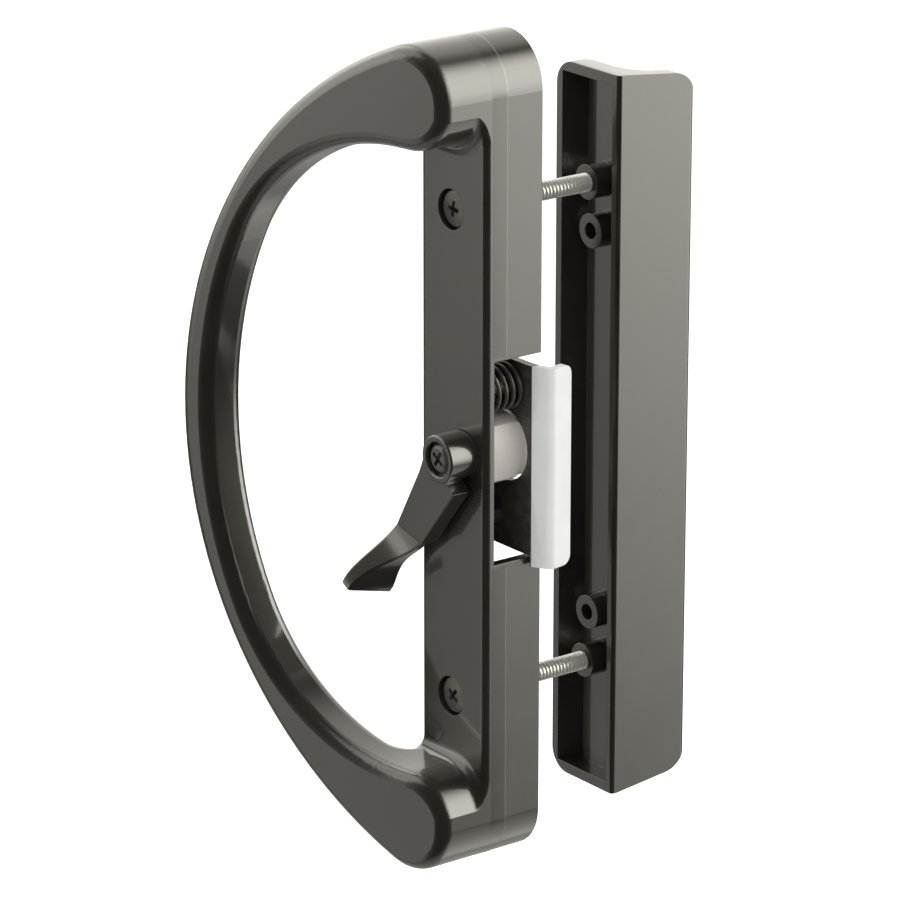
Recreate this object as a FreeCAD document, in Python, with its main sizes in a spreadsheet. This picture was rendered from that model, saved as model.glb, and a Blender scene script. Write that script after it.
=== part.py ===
import FreeCAD, Part
import math
import os
import Sketcher
from FreeCAD import Placement, Rotation, Vector

# Sliding patio door handle with a clamp latch. Millimetres, +Z up, -Y toward the room,
# +X toward the jamb. Origin midway between the two mounting screws on the door's inner face.

doc = FreeCAD.newDocument("patio_door_handle")
dim = doc.addObject("Spreadsheet::Sheet", "dim")

sizes = [
    ("screw_pitch", "125.4"),
    ("spare_pitch", "100.0"),
    ("door_gap", "24.7"),
    ("handle_len", "210.6"),
    ("plate_left", "12.2"),
    ("plate_right", "13.85"),
    ("plate_depth", "17.0"),
    ("plate_round", "1.6"),
    ("wall", "2.6"),
    ("cavity_depth", "14.3"),
    ("block_drop", "12.75"),
    ("nose_r", "13.5"),
    ("nose_rise", "9.0"),
    ("cove_r", "3.0"),
    ("heel_r", "6.0"),
    ("bow_apex", "75.1"),
    ("bow_width", "9.9"),
    ("bow_front", "32.6"),
    ("bow_tilt", "10.8"),
    ("bow_thick", "12.1"),
    ("bow_round", "3.4"),
    ("bow_back_round", "3.0"),
    ("grip_r", "110.0"),
    ("corner_left", "2.87"),
    ("screw_r", "2.4"),
    ("screw_clear", "0.2"),
    ("thread_clear", "0.05"),
    ("screw_boss_r", "6.0"),
    ("head_r", "4.6"),
    ("head_h", "2.6"),
    ("head_clear", "0.5"),
    ("sink_depth", "3.1"),
    ("screw_reach", "5.0"),
    ("pivot_x", "4.6"),
    ("pivot_z", "2.0"),
    ("journal_r", "4.9"),
    ("journal_clear", "0.08"),
    ("notch_top", "27.0"),
    ("notch_bottom", "25.0"),
    ("pin_r", "2.0"),
    ("pin_clear", "0.08"),
    ("pin_up_x", "7.0"),
    ("pin_up_z", "18.0"),
    ("pin_low_x", "2.0"),
    ("pin_low_z", "17.0"),
    ("pin_boss_r", "3.4"),
    ("pin_boss_h", "3.0"),
    ("pin_bed", "1.0"),
    ("pin_end", "0.9"),
    ("clip_r", "3.6"),
    ("clip_thick", "0.6"),
    ("clip_gap", "0.1"),
    ("barrel_r", "8.75"),
    ("barrel_front", "14.0"),
    ("barrel_back", "0.6"),
    ("barrel_flat", "6.2"),
    ("flat_r", "24.0"),
    ("neck_in", "0.55"),
    ("neck_step", "0.6"),
    ("neck_front", "3.5"),
    ("rim_r", "1.4"),
    ("tang", "6.0"),
    ("tang_len", "3.0"),
    ("tang_clear", "0.1"),
    ("cam_lead", "2.5"),
    ("cam_turn", "80"),
    ("cam_run_on", "12"),
    ("slot_high", "3.2"),
    ("slot_depth", "2.6"),
    ("follower_y", "7.6"),
    ("follower_r", "1.2"),
    ("follower_reach", "2.1"),
    ("clamp_thick", "2.0"),
    ("clamp_back", "2.0"),
    ("clamp_top", "24.4"),
    ("clamp_bottom", "27.0"),
    ("clamp_low", "24.4"),
    ("clamp_left", "8.0"),
    ("clamp_clear", "0.4"),
    ("hook_start", "11.5"),
    ("hook_out", "20.4"),
    ("hook_knee", "0.9"),
    ("hook_tip", "7.8"),
    ("hook_lean", "1.4"),
    ("hook_round", "2.4"),
    ("ear_half", "5.0"),
    ("ear_front", "9.6"),
    ("spring_r", "6.0"),
    ("spring_wire", "1.1"),
    ("spring_turns", "4.25"),
    ("hub_r", "6.0"),
    ("hub_front", "24.8"),
    ("hub_recess_r", "4.3"),
    ("hub_recess", "2.0"),
    ("washer_thick", "0.5"),
    ("washer_r", "5.8"),
    ("lever_angle", "32"),
    ("arm_front", "23.4"),
    ("arm_back", "18.4"),
    ("arm_left", "5.0"),
    ("arm_right", "8.4"),
    ("crease_right", "5.9"),
    ("crease", "27.0"),
    ("tip_front", "32.0"),
    ("tip_back", "20.6"),
    ("tip_len", "48.8"),
    ("tip_round", "0.4"),
    ("blade_edge", "0.55"),
    ("lever_round", "0.5"),
    ("set_r", "2.0"),
    ("set_head_r", "3.8"),
    ("set_head_h", "1.7"),
    ("set_end", "9.0"),
    ("pull_left", "11.9"),
    ("pull_right", "12.4"),
    ("pull_len", "187.2"),
    ("pull_drop", "1.8"),
    ("pull_corner", "6.0"),
    ("pull_base", "7.0"),
    ("pull_slope", "4.9"),
    ("pull_round", "1.0"),
    ("shoulder_r", "2.2"),
    ("flange_h", "24.0"),
    ("flange_thick", "4.2"),
    ("flange_foot", "2.0"),
    ("flange_taper", "2.5"),
    ("flange_bend", "7.0"),
    ("flange_crown", "7.0"),
    ("lip_r", "1.5"),
    ("pull_core", "5.4"),
    ("pull_rim", "2.5"),
    ("pull_skin", "2.2"),
    ("pull_end", "9.0"),
    ("pull_boss_r", "4.4"),
    ("spare_drop", "1.4"),
    ("spare_r", "2.1"),
]

derived = [
    ("half_pitch", "=screw_pitch / 2"),
    ("half_spare", "=spare_pitch / 2"),
    ("end_r", "=(plate_left + plate_right) / 2"),
    ("end_x", "=(plate_right - plate_left) / 2"),
    ("end_z", "=handle_len / 2 - end_r"),
    ("end_top", "=handle_len / 2"),
    ("bow_reach", "=bow_apex - end_r"),
    ("bow_cx", "=(end_x ^ 2 + end_z ^ 2 - bow_reach ^ 2) / (2 * (bow_reach + end_x))"),
    ("bow_r", "=bow_apex + bow_cx"),
    ("tan_x", "=bow_cx + bow_r * (end_x - bow_cx) / (bow_r - end_r)"),
    ("tan_z", "=bow_r * end_z / (bow_r - end_r)"),
    ("grip_cx", "=grip_r - bow_apex + bow_width"),
    ("block_z", "=end_z - block_drop"),
    ("nose_end", "=block_z + nose_rise"),
    ("nose_z", "=block_z + nose_r"),
    ("nose_x", "=plate_right - sqrt(nose_r ^ 2 - (nose_r - nose_rise) ^ 2)"),
    ("corner_far", "=grip_cx + corner_left"),
    ("corner_r", "=(grip_r ^ 2 - corner_far ^ 2 - block_z ^ 2) / (2 * (grip_r - block_z))"),
    ("corner_z", "=block_z - corner_r"),
    ("join_x", "=grip_cx - corner_far * grip_r / (grip_r - corner_r)"),
    ("join_z", "=corner_z * grip_r / (grip_r - corner_r)"),
    ("band_left", "=bow_apex + 20"),
    ("band_right", "=plate_right + 20"),
    ("front_left", "=bow_front + band_left * tan(bow_tilt)"),
    ("front_right", "=bow_front - band_right * tan(bow_tilt)"),
    ("back_left", "=front_left - bow_thick"),
    ("bow_far", "=front_left + 10"),
    ("heel_run", "=heel_r * tan((90 - bow_tilt) / 2)"),
    ("heel_x", "=plate_left + heel_run * cos(bow_tilt)"),
    ("heel_y", "=bow_front - bow_thick + heel_x * tan(bow_tilt)"),
    ("heel_end", "=heel_y - (heel_x - plate_left) * tan(bow_tilt) - heel_run"),
    ("cove_z", "=block_z - cove_r"),
    ("cove_y", "=plate_depth + cove_r"),
    ("cavity_left", "=plate_left - wall"),
    ("cavity_right", "=plate_right - wall"),
    ("cavity_end", "=end_top - wall"),
    ("cavity_r", "=end_r - wall"),
    ("hole_r", "=screw_r + screw_clear"),
    ("sink_r", "=head_r + head_clear"),
    ("bore_r", "=journal_r + journal_clear"),
    ("pull_back", "=door_gap + pull_base"),
    ("pull_tip", "=door_gap + flange_h"),
    ("thread_r", "=screw_r + thread_clear"),
    ("pull_up", "=pull_len / 2 - pull_drop"),
    ("pull_down", "=pull_len / 2 + pull_drop"),
    ("slope_len", "=sqrt(pull_slope ^ 2 + pull_base ^ 2)"),
    ("shoulder_x", "=pull_left - pull_slope"),
    ("shoulder_run", "=shoulder_r * pull_base / (slope_len + pull_slope)"),
    ("taper_high", "=flange_h - flange_foot"),
    ("taper_len", "=sqrt(flange_taper ^ 2 + taper_high ^ 2)"),
    ("crown_run", "=flange_crown * (taper_len - flange_taper) / taper_high"),
    ("crown_y", "=pull_tip - crown_run * taper_high / taper_len"),
    ("crown_up", "=flange_taper - crown_run * flange_taper / taper_len"),
    ("crown_low", "=flange_taper + crown_run"),
    ("neck_r", "=barrel_r - neck_in"),
    ("flat_x", "=barrel_flat - flat_r + sqrt(flat_r ^ 2 - barrel_r ^ 2)"),
    ("clamp_front", "=clamp_back + clamp_thick"),
    ("tip_rise", "=tip_front - arm_front"),
]


def fill_sheet():
    for row, (alias, text) in enumerate(sizes + derived, start=1):
        dim.set("A%d" % row, alias)
        dim.set("B%d" % row, text)
        dim.setAlias("B%d" % row, alias)
    doc.recompute()


def value(expr):
    return float(dim.evalExpression(expr))


def named(text):
    words = ""
    word = ""
    for letter in text + " ":
        if letter.isalnum() or letter == "_":
            word += letter
            continue
        words += ("dim." + word) if word and word in aliases else word
        word = ""
        words += letter
    return words.strip()


def body_of(label):
    body = doc.addObject("PartDesign::Body", label)
    body.Label = label
    return body


def sketch_on(body, role, offset=None):
    sketch = body.newObject("Sketcher::SketchObject", body.Name + "_sketch")
    plane = [item for item in body.Origin.OriginFeatures if item.Role == role][0]
    sketch.AttachmentSupport = [(plane, "")]
    sketch.MapMode = "FlatFace"
    if offset is not None:
        sketch.setExpression("AttachmentOffset.Base.z", named(offset))
    return sketch


def fix_point(sketch, geo, pos, along, text):
    expr = named(text)
    if abs(value(expr)) < 1e-9:
        axis = -2 if along == "X" else -1
        sketch.addConstraint(Sketcher.Constraint("PointOnObject", geo, pos, axis))
        return
    number = sketch.addConstraint(
        Sketcher.Constraint("Distance" + along, -1, 1, geo, pos, value(expr))
    )
    sketch.setExpression("Constraints[%d]" % number, expr)


def arc_between(start, end, radius, turn):
    chord = end - start
    middle = (start + end) * 0.5
    rise = math.sqrt(max(radius ** 2 - (chord.Length / 2) ** 2, 0.0))
    side = Vector(-chord.y, chord.x, 0)
    side.normalize()
    centre = middle + side * (rise if turn == "ccw" else -rise)
    first, last = (start, end) if turn == "ccw" else (end, start)
    from_angle = math.atan2(first.y - centre.y, first.x - centre.x)
    to_angle = math.atan2(last.y - centre.y, last.x - centre.x)
    circle = Part.Circle(centre, Vector(0, 0, 1), radius)
    return Part.ArcOfCircle(circle, from_angle, to_angle)


def outline(sketch, corners):
    points = [Vector(value(named(c[0])), value(named(c[1])), 0) for c in corners]
    ends = []
    for index, corner in enumerate(corners):
        start = points[index]
        end = points[(index + 1) % len(points)]
        if len(corner) == 2:
            geo = sketch.addGeometry(Part.LineSegment(start, end))
            ends.append((geo, 1, 2))
            continue
        arc = arc_between(start, end, value(named(corner[2])), corner[3])
        geo = sketch.addGeometry(arc)
        ends.append((geo, 1, 2) if corner[3] == "ccw" else (geo, 2, 1))
        number = sketch.addConstraint(
            Sketcher.Constraint("Radius", geo, value(named(corner[2])))
        )
        sketch.setExpression("Constraints[%d]" % number, named(corner[2]))
    for index, corner in enumerate(corners):
        geo, start, end = ends[index]
        after = ends[(index + 1) % len(ends)]
        sketch.addConstraint(Sketcher.Constraint("Coincident", geo, end, after[0], after[1]))
        fix_point(sketch, geo, start, "X", corner[0])
        fix_point(sketch, geo, start, "Y", corner[1])


def ring(sketch, x, y, radius):
    centre = Vector(value(named(x)), value(named(y)), 0)
    size = value(named(radius))
    geo = sketch.addGeometry(Part.Circle(centre, Vector(0, 0, 1), size))
    fix_point(sketch, geo, 3, "X", x)
    fix_point(sketch, geo, 3, "Y", y)
    number = sketch.addConstraint(Sketcher.Constraint("Radius", geo, size))
    sketch.setExpression("Constraints[%d]" % number, named(radius))


def box(sketch, left, right, low, high):
    outline(sketch, [(left, low), (right, low), (right, high), (left, high)])


def stadium(sketch, left, right, middle, straight, top, radius):
    outline(sketch, [
        (left, "-" + straight),
        (left, straight, radius, "cw"),
        (middle, top, radius, "cw"),
        (right, straight),
        (right, "-" + straight, radius, "cw"),
        (middle, "-" + top, radius, "cw"),
    ])


def pad(body, sketch, length, turned=False, both=False):
    feature = body.newObject("PartDesign::Pad", body.Name + "_pad")
    feature.Profile = sketch
    feature.SideType = "Symmetric" if both else "One side"
    feature.Reversed = turned
    feature.setExpression("Length", named(length))
    doc.recompute()
    return feature


def cut(body, sketch, length=None, turned=False, both=False):
    before = body.Shape.Volume
    feature = body.newObject("PartDesign::Pocket", body.Name + "_cut")
    feature.Profile = sketch
    feature.SideType = "Symmetric" if both or length is None else "One side"
    feature.Reversed = turned
    if length is None:
        feature.Type = "ThroughAll"
    else:
        feature.setExpression("Length", named(length))
    doc.recompute()
    if not feature.Shape.Volume < before - 1e-3:
        raise RuntimeError("no material removed by " + feature.Name)
    return feature


def spin(body, sketch, degrees="360"):
    feature = body.newObject("PartDesign::Revolution", body.Name + "_spin")
    feature.Profile = sketch
    feature.ReferenceAxis = (sketch, ["V_Axis"])
    feature.setExpression("Angle", degrees)
    doc.recompute()
    return feature


def edges_where(shape, test):
    return ["Edge%d" % (n + 1) for n, edge in enumerate(shape.Edges) if test(edge)]


def soften(body, names, radius):
    base = body.Tip
    feature = body.newObject("PartDesign::Fillet", body.Name + "_round")
    feature.Base = (base, names)
    feature.setExpression("Radius", named(radius))
    doc.recompute()
    return feature


def place(thing, x, y, z):
    for axis, text in (("x", x), ("y", y), ("z", z)):
        thing.setExpression("Placement.Base." + axis, named(text))


aliases = [alias for alias, text in sizes + derived]
fill_sheet()

# D-shaped bow: flat crescent leaning into the room, walls drawn square to the door


def crescent(sketch):
    outline(sketch, [
        ("tan_x", "-tan_z", "bow_r", "cw"),
        ("tan_x", "tan_z", "end_r", "cw"),
        ("plate_right", "end_z"),
        ("plate_right", "nose_end", "nose_r", "cw"),
        ("nose_x", "block_z"),
        ("-corner_left", "block_z", "corner_r", "ccw"),
        ("join_x", "join_z", "grip_r", "ccw"),
        ("join_x", "-join_z", "corner_r", "ccw"),
        ("-corner_left", "-block_z"),
        ("nose_x", "-block_z", "nose_r", "cw"),
        ("plate_right", "-nose_end"),
        ("plate_right", "-end_z", "end_r", "cw"),
    ])


bow = body_of("bow")
bow_plan = sketch_on(bow, "XZ_Plane", "plate_depth")
crescent(bow_plan)
pad(bow, bow_plan, "bow_far - plate_depth")
slab = sketch_on(bow, "XY_Plane")
outline(slab, [
    ("-band_left", "-front_left"),
    ("-band_left", "-bow_far - 5"),
    ("band_right", "-bow_far - 5"),
    ("band_right", "-front_right"),
])
outline(slab, [
    ("-band_left", "-back_left"),
    ("-heel_x", "-heel_y", "heel_r", "ccw"),
    ("-plate_left", "-heel_end"),
    ("-plate_left", "5"),
    ("-band_left", "5"),
])
cut(bow, slab)


def on_front(edge):
    slope = math.tan(math.radians(value("dim.bow_tilt")))
    level = -value("dim.bow_front")
    return all(abs(v.Y - level - slope * v.X) < 1e-3 for v in edge.Vertexes)


def on_back(edge):
    slope = math.tan(math.radians(value("dim.bow_tilt")))
    level = value("dim.bow_thick") - value("dim.bow_front")
    flat = all(abs(v.Y - level - slope * v.X) < 1e-3 for v in edge.Vertexes)
    return flat and min(v.X for v in edge.Vertexes) < -value("dim.heel_x") - 1


soften(bow, edges_where(bow.Shape, on_front), "bow_round")
soften(bow, edges_where(bow.Shape, on_back), "bow_back_round")

# Interior handle: hollow plate with coved corners, fused with the bow
handle = body_of("interior_handle")
plate = sketch_on(handle, "XZ_Plane")
stadium(plate, "-plate_left", "plate_right", "end_x", "end_z", "end_top", "end_r")
pad(handle, plate, "plate_depth")
cove = sketch_on(handle, "YZ_Plane", "-plate_left")
for sign, turn in (("", "ccw"), ("-", "cw")):
    outline(cove, [
        ("-plate_depth + 0.5", sign + "cove_z"),
        ("-plate_depth", sign + "cove_z", "cove_r", turn),
        ("-cove_y", sign + "block_z"),
        ("-cove_y", sign + "(block_z + cove_r)"),
        ("-plate_depth + 0.5", sign + "(block_z + cove_r)"),
    ])
pad(handle, cove, "plate_left + nose_x")
for sign in ("", "-"):
    bend = sketch_on(handle, "XY_Plane", sign + "nose_z")
    bend.setExpression("AttachmentOffset.Base.x", "dim.nose_x")
    outline(bend, [
        ("nose_r - 1", "-cove_y"),
        ("nose_r", "-cove_y", "cove_r", "cw"),
        ("nose_r + cove_r", "-plate_depth"),
        ("nose_r + cove_r", "-plate_depth + 0.5"),
        ("nose_r - 1", "-plate_depth + 0.5"),
    ])
    turn_in = spin(handle, bend, "90")
    turn_in.Reversed = sign == "-"
    doc.recompute()
spare = sketch_on(handle, "XZ_Plane", "plate_depth - 1")
stadium(spare, "-plate_left", "plate_right", "end_x", "end_z", "end_top", "end_r")
box(spare, "-plate_left - 20", "plate_right + 20", "-end_top - 20", "end_top + 20")
cut(handle, spare, "cove_r + 5", turned=True)


def on_plate_rim(edge):
    sides = (value("dim.plate_right"), -value("dim.plate_left"))
    flush = any(all(abs(v.X - side) < 1e-3 for v in edge.Vertexes) for side in sides)
    front = all(abs(v.Y + value("dim.plate_depth")) < 1e-3 for v in edge.Vertexes)
    return flush and front and edge.Length > value("dim.block_z")


soften(handle, edges_where(handle.Shape, on_plate_rim), "plate_round")
join = handle.newObject("PartDesign::Boolean", "handle_join")
join.Type = "Fuse"
join.setObjects([bow])
doc.recompute()

core = sketch_on(handle, "XZ_Plane")
stadium(core, "-cavity_left", "cavity_right", "end_x", "end_z", "cavity_end", "cavity_r")
ring(core, "0", "half_pitch", "screw_boss_r")
ring(core, "0", "-half_pitch", "screw_boss_r")
cut(handle, core, "cavity_depth", turned=True)
posts = sketch_on(handle, "XZ_Plane", "cavity_depth + 0.1")
ring(posts, "pin_up_x", "pin_up_z", "pin_boss_r")
ring(posts, "pin_low_x", "-pin_low_z", "pin_boss_r")
pad(handle, posts, "pin_boss_h + 0.1", turned=True)
sockets = sketch_on(handle, "XZ_Plane", "cavity_depth + pin_bed")
ring(sockets, "pin_up_x", "pin_up_z", "pin_r")
ring(sockets, "pin_low_x", "-pin_low_z", "pin_r")
cut(handle, sockets, "pin_bed + pin_boss_h + 1")
drill = sketch_on(handle, "XZ_Plane")
ring(drill, "0", "half_pitch", "hole_r")
ring(drill, "0", "-half_pitch", "hole_r")
cut(handle, drill)
sink = sketch_on(handle, "XZ_Plane", "plate_depth")
ring(sink, "0", "half_pitch", "sink_r")
ring(sink, "0", "-half_pitch", "sink_r")
cut(handle, sink, "sink_depth")
bearing = sketch_on(handle, "XZ_Plane", "plate_depth")
ring(bearing, "pivot_x", "pivot_z", "bore_r")
cut(handle, bearing, "wall + 1")
notch = sketch_on(handle, "YZ_Plane", "cavity_right - 0.5")
box(notch, "-cavity_depth", "1", "-notch_bottom", "notch_top")
cut(handle, notch, "wall + 2", turned=True)

# Exterior pull: L section with crowned flange ends, hollow on the door side
pull = body_of("exterior_pull")
section = sketch_on(pull, "XY_Plane", "-pull_drop")
outline(section, [
    ("-pull_left", "door_gap"),
    ("pull_right - pull_round", "door_gap", "pull_round", "ccw"),
    ("pull_right", "door_gap + pull_round"),
    ("pull_right", "pull_tip - lip_r", "lip_r", "ccw"),
    ("pull_right - lip_r", "pull_tip"),
    ("pull_right - flange_thick + lip_r", "pull_tip", "lip_r", "ccw"),
    ("pull_right - flange_thick", "pull_tip - lip_r"),
    ("pull_right - flange_thick", "pull_back + flange_bend", "flange_bend", "cw"),
    ("pull_right - flange_thick - flange_bend", "pull_back"),
    ("-shoulder_x + shoulder_run", "pull_back", "shoulder_r", "ccw"),
    (
        "-shoulder_x - shoulder_run * pull_slope / slope_len",
        "pull_back - shoulder_run * pull_base / slope_len",
    ),
])
pad(pull, section, "pull_len", both=True)
taper = sketch_on(pull, "YZ_Plane")
corners = sketch_on(pull, "XZ_Plane", "-door_gap")
for sign, end, turn in (("", "pull_up", "cw"), ("-", "pull_down", "ccw")):
    outline(taper, [
        ("door_gap + flange_foot", sign + end),
        ("crown_y", sign + "(" + end + " - crown_up)", "flange_crown", turn),
        ("pull_tip", sign + "(" + end + " - crown_low)"),
        ("pull_tip + 1", sign + "(" + end + " - crown_low)"),
        ("pull_tip + 1", sign + "(" + end + " + 1)"),
        ("door_gap + flange_foot", sign + "(" + end + " + 1)"),
    ])
    outline(corners, [
        ("-pull_left", sign + "(" + end + " - pull_corner)", "pull_corner", turn),
        ("-pull_left + pull_corner", sign + end),
        ("-pull_left + pull_corner", sign + "(" + end + " + 1)"),
        ("-pull_left - 1", sign + "(" + end + " + 1)"),
        ("-pull_left - 1", sign + "(" + end + " - pull_corner)"),
    ])
cut(pull, taper)
cut(pull, corners, "flange_h")
hollow = sketch_on(pull, "XY_Plane", "-pull_drop")
outline(hollow, [
    ("-pull_left + pull_skin", "door_gap - 1"),
    ("pull_right - pull_rim", "door_gap - 1"),
    ("pull_right - pull_rim", "door_gap + pull_core"),
    ("-pull_left + pull_skin + pull_slope * pull_core / pull_base", "door_gap + pull_core"),
    ("-pull_left + pull_skin", "door_gap"),
])
cut(pull, hollow, "pull_len - 2 * pull_end", both=True)
for pitch, drop in (("half_pitch", "0"), ("half_spare", "spare_drop")):
    tubes = sketch_on(pull, "XZ_Plane", "-door_gap - " + drop)
    ring(tubes, "0", pitch, "pull_boss_r")
    ring(tubes, "0", "-" + pitch, "pull_boss_r")
    pad(pull, tubes, "pull_core - " + drop + " + 0.2", turned=True)
taps = sketch_on(pull, "XZ_Plane", "-door_gap")
ring(taps, "0", "half_pitch", "thread_r")
ring(taps, "0", "-half_pitch", "thread_r")
ring(taps, "0", "half_spare", "spare_r")
ring(taps, "0", "-half_spare", "spare_r")
cut(pull, taps, "screw_reach + 0.6")


# Mounting screws: Phillips pan heads sunk in the plate, shanks across the door
screw = body_of("screw")
turned = sketch_on(screw, "XY_Plane")
outline(turned, [
    ("0", "-plate_depth + sink_depth - head_h"),
    ("head_r * 0.62", "-plate_depth + sink_depth - head_h", "head_r * 0.75", "ccw"),
    ("head_r", "-plate_depth + sink_depth - head_h * 0.45"),
    ("head_r", "-plate_depth + sink_depth"),
    ("screw_r", "-plate_depth + sink_depth"),
    ("screw_r", "door_gap + screw_reach - 0.8"),
    ("screw_r - 0.8", "door_gap + screw_reach"),
    ("0", "door_gap + screw_reach"),
])
spin(screw, turned)


def cross(body, offset, reach, half, depth):
    driver = sketch_on(body, "XZ_Plane", offset)
    outline(driver, [
        (half, half), (reach, half), (reach, "-" + half), (half, "-" + half),
        (half, "-" + reach), ("-" + half, "-" + reach), ("-" + half, "-" + half),
        ("-" + reach, "-" + half), ("-" + reach, half), ("-" + half, half),
        ("-" + half, reach), (half, reach),
    ])
    cut(body, driver, depth)


cross(screw, "plate_depth - sink_depth + head_h", "2.5", "0.55", "1.7")
place(screw, "0", "0", "half_pitch")
twin = doc.addObject("Part::Mirroring", "twin_screw")
twin.Source = screw
twin.Normal = Vector(0, 0, 1)
screws = doc.addObject("Part::Compound", "mounting_screws")
screws.Label = "mounting_screws"
screws.Links = [screw, twin]

# Thumb lever: drawn straight down about its pivot, then set at its rest angle
lever = body_of("thumb_lever")
plan = sketch_on(lever, "XZ_Plane", "arm_back")
outline(plan, [
    ("-hub_r", "0"),
    ("-arm_left", "-hub_r - 1"),
    ("-arm_left + 0.9", "-crease - 1.5"),
    ("crease_right", "-crease + 1.5"),
    ("arm_right", "-hub_r + 1.5"),
    ("hub_r - 1", "-hub_r + 2"),
    ("hub_r - 1", "0"),
])
pad(lever, plan, "arm_front - arm_back")


def arm_edge(edge):
    middle = edge.CenterOfMass
    return middle.z < -value("dim.hub_r") - 1 and middle.y < -value("dim.arm_back") - 0.1


soften(lever, edges_where(lever.Shape, arm_edge), "lever_round")


def blade_at(level, left, right, front, back_left, back_right, back):
    slice_sketch = sketch_on(lever, "XY_Plane", "-(" + level + ")")
    outline(slice_sketch, [
        ("-" + left, "-" + front + " + blade_edge"),
        ("-" + left + " + blade_edge", "-" + front),
        (right + " - blade_edge", "-" + front),
        (right, "-" + front + " + blade_edge"),
        (back_right, "-" + back + " - blade_edge"),
        (back_right + " - blade_edge", "-" + back),
        ("-" + back_left + " + blade_edge", "-" + back),
        ("-" + back_left, "-" + back + " - blade_edge"),
    ])
    return slice_sketch


slices = [
    blade_at(
        "0.91 * crease", "0.84 * arm_left", "0.915 * crease_right", "(arm_front - 0.105 * tip_rise)",
        "0.84 * arm_left", "0.915 * crease_right", "(tip_back - 0.023 * tip_rise)",
    ),
    blade_at(
        "crease + 0.16 * (tip_len - crease)", "0.98 * arm_left", "0.627 * crease_right",
        "(arm_front - 0.047 * tip_rise)", "0.94 * arm_left", "0.678 * crease_right", "tip_back",
    ),
    blade_at(
        "crease + 0.44 * (tip_len - crease)", "1.14 * arm_left", "0.152 * crease_right",
        "(arm_front + 0.163 * tip_rise)", "1.1 * arm_left", "0.322 * crease_right",
        "(tip_back + 0.023 * tip_rise)",
    ),
    blade_at(
        "crease + 0.71 * (tip_len - crease)", "1.2 * arm_left", "(-0.22 * crease_right)",
        "(arm_front + 0.605 * tip_rise)", "1.16 * arm_left", "0.271 * crease_right",
        "(tip_back + 0.012 * tip_rise)",
    ),
    blade_at(
        "tip_len", "1.04 * arm_left", "(-0.288 * crease_right)", "tip_front",
        "1.06 * arm_left", "0.237 * crease_right", "tip_back",
    ),
]
blade = lever.newObject("PartDesign::AdditiveLoft", "lever_blade")
blade.Profile = slices[0]
blade.Sections = slices[1:]
doc.recompute()


def blade_tip(edge):
    return all(abs(v.Z + value("dim.tip_len")) < 1e-3 for v in edge.Vertexes)


soften(lever, edges_where(lever.Shape, blade_tip), "tip_round")
hub = sketch_on(lever, "XZ_Plane", "plate_depth + washer_thick")
ring(hub, "0", "0", "hub_r")
pad(lever, hub, "hub_front - plate_depth - washer_thick")
dish = sketch_on(lever, "XZ_Plane", "hub_front")
ring(dish, "0", "0", "hub_recess_r")
cut(lever, dish, "hub_recess")
through = sketch_on(lever, "XZ_Plane")
ring(through, "0", "0", "set_r + screw_clear")
cut(lever, through)
keyway = sketch_on(lever, "XZ_Plane", "plate_depth + washer_thick")
box(
    keyway, "-tang / 2 - tang_clear", "tang / 2 + tang_clear",
    "-tang / 2 - tang_clear", "tang / 2 + tang_clear",
)
cut(lever, keyway, "tang_len", turned=True)


def hub_rim(edge):
    return all(abs(v.Y + value("dim.hub_front")) < 1e-3 for v in edge.Vertexes)


soften(lever, edges_where(lever.Shape, hub_rim), "0.45")
place(lever, "pivot_x", "0", "pivot_z")
lever.Placement.Rotation = Rotation(Vector(0, 1, 0), value("dim.lever_angle"))
lever.setExpression("Placement.Rotation.Angle", "dim.lever_angle")

set_screw = body_of("lever_screw")
set_turned = sketch_on(set_screw, "XY_Plane")
outline(set_turned, [
    ("0", "-hub_front + hub_recess - set_head_h"),
    ("set_head_r * 0.7", "-hub_front + hub_recess - set_head_h", "set_head_r * 0.6", "ccw"),
    ("set_head_r", "-hub_front + hub_recess - set_head_h * 0.5"),
    ("set_head_r", "-hub_front + hub_recess"),
    ("set_r", "-hub_front + hub_recess"),
    ("set_r", "-set_end - 0.6"),
    ("set_r - 0.6", "-set_end"),
    ("0", "-set_end"),
])
spin(set_screw, set_turned)
cross(set_screw, "hub_front - hub_recess + set_head_h", "2.3", "0.5", "1.2")
place(set_screw, "pivot_x", "0", "pivot_z")
set_screw.Placement.Rotation = Rotation(Vector(0, 1, 0), value("dim.lever_angle"))
set_screw.setExpression("Placement.Rotation.Angle", "dim.lever_angle")

washer = body_of("lever_washer")
flat = sketch_on(washer, "XZ_Plane", "plate_depth")
ring(flat, "0", "0", "washer_r")
ring(flat, "0", "0", "bore_r")
pad(washer, flat, "washer_thick")
place(washer, "pivot_x", "0", "pivot_z")

# Cam barrel: journal and square tang in front, helical slot round its hidden side
barrel = body_of("cam_barrel")
profile = sketch_on(barrel, "XY_Plane")
outline(profile, [
    ("0", "-barrel_front - wall - 0.6"),
    ("journal_r", "-barrel_front - wall - 0.6"),
    ("journal_r", "-barrel_front"),
    ("barrel_r - 0.8", "-barrel_front", "0.8", "ccw"),
    ("barrel_r", "-barrel_front + 0.8"),
    ("barrel_r", "-neck_front - 1.2", "rim_r", "ccw"),
    ("neck_r", "-neck_front"),
    ("neck_r", "-barrel_back"),
    ("0", "-barrel_back"),
])
spin(barrel, profile)
for front, inset, run in (
    ("barrel_front", "0", "barrel_front - neck_front"),
    ("neck_front", "neck_step", "neck_front - barrel_back + 1"),
):
    side = sketch_on(barrel, "XZ_Plane", front)
    outline(side, [
        ("flat_x - " + inset, "-barrel_r", "flat_r", "ccw"),
        ("flat_x - " + inset, "barrel_r"),
        ("barrel_r + 1", "barrel_r"),
        ("barrel_r + 1", "-barrel_r"),
    ])
    cut(barrel, side, run)
square = sketch_on(barrel, "XZ_Plane", "barrel_front + wall + 0.6")
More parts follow.
